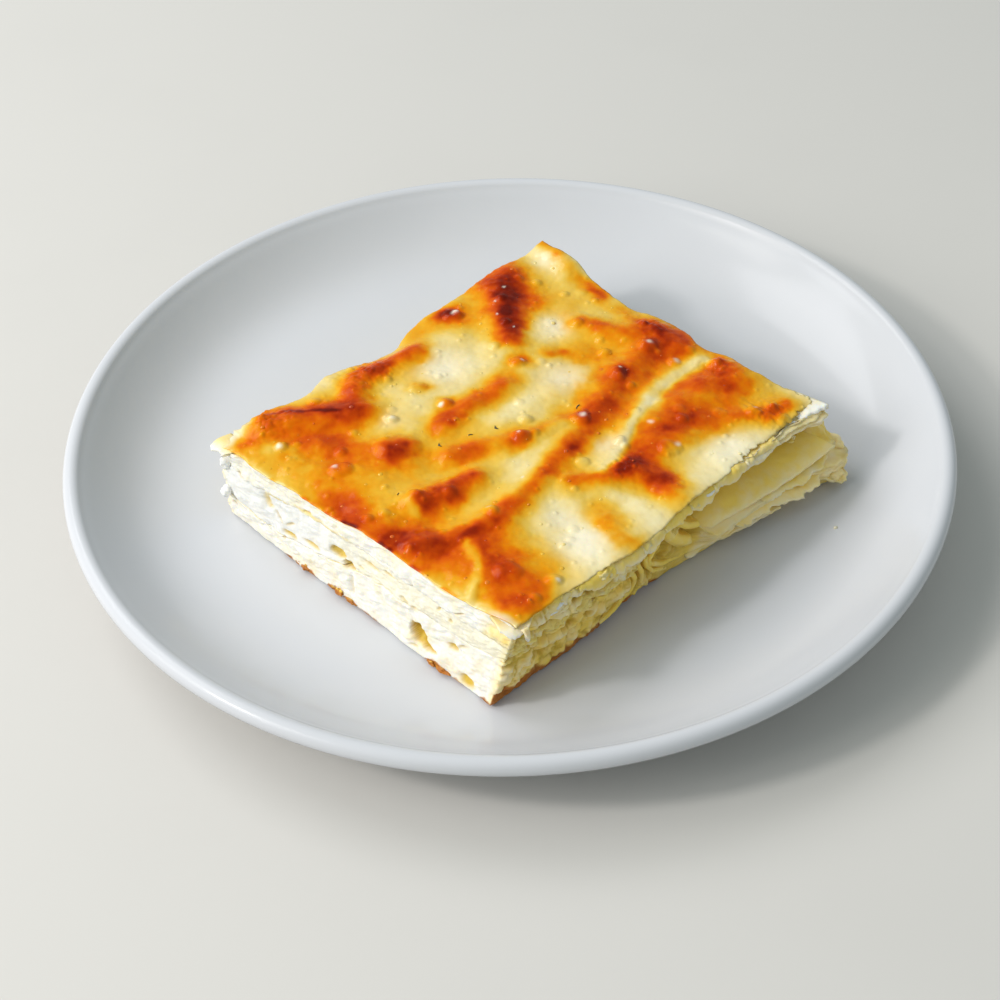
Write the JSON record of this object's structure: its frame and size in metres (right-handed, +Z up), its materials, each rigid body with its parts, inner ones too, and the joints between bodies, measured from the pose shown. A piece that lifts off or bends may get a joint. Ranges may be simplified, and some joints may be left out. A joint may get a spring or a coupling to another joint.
{
  "type": "su borek slice on a plate",
  "caption": "Cut slice of baked water borek, pastry sheets round white cheese with a blistered golden crust, resting on a round white coupe plate.",
  "frame": {"origin": "middle of the plate, on the surface that its foot ring stands on", "axes": "+Z up; +X along the slice's front cut, from its front corner to its right-hand corner; +Y along its left cut, from the front corner to the left-hand corner"},
  "size_m": [0.22, 0.22, 0.0344],
  "materials": {
    "plate": "smooth white glaze, glossy",
    "lower_pastry": "moist boiled pastry, cream, with a browned base",
    "cheese_filling": "soft white cheese curd, satin",
    "upper_pastry": "baked buttered crust, pale gold to brown, glossy"
  },
  "bodies": {
    "root": {"plate": "plate", "lower_pastry": "lower_pastry", "cheese_filling": "cheese_filling", "upper_pastry": "upper_pastry"}
  },
  "joints": []
}
